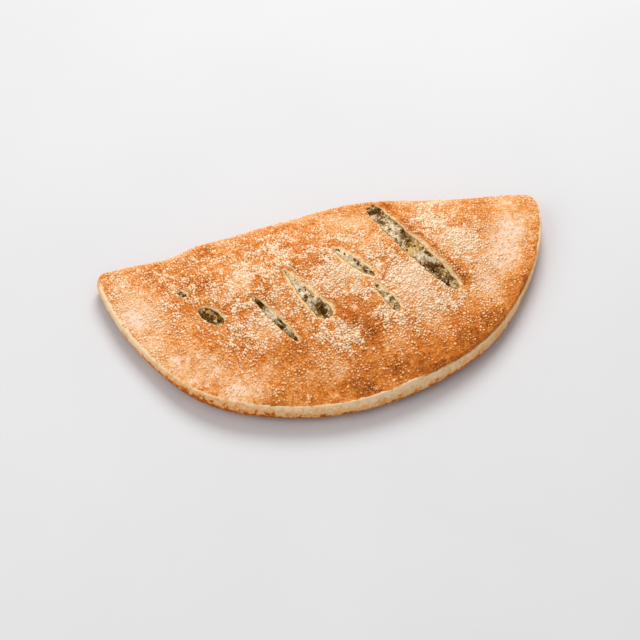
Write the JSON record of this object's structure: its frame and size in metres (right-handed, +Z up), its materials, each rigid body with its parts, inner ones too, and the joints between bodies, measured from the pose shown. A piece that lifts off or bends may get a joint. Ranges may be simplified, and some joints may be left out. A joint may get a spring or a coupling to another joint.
{
  "type": "calzone",
  "caption": "Half-moon calzone: folded, sealed dough baked brown, with slanting steam slits on top that show a herb and cheese filling.",
  "frame": {"origin": "on the table under the middle of the crust's bounding box", "axes": "+X along the fold towards the thick tip, -Y towards the sealed arc, +Z up out of the slit top"},
  "size_m": [0.2392, 0.1218, 0.0367],
  "materials": {
    "crust": "matt baked dough, sandy with coarse meal",
    "filling": "moist, uneven, dark green and cream"
  },
  "bodies": {
    "root": {"crust": "crust", "filling": "filling"}
  },
  "joints": []
}
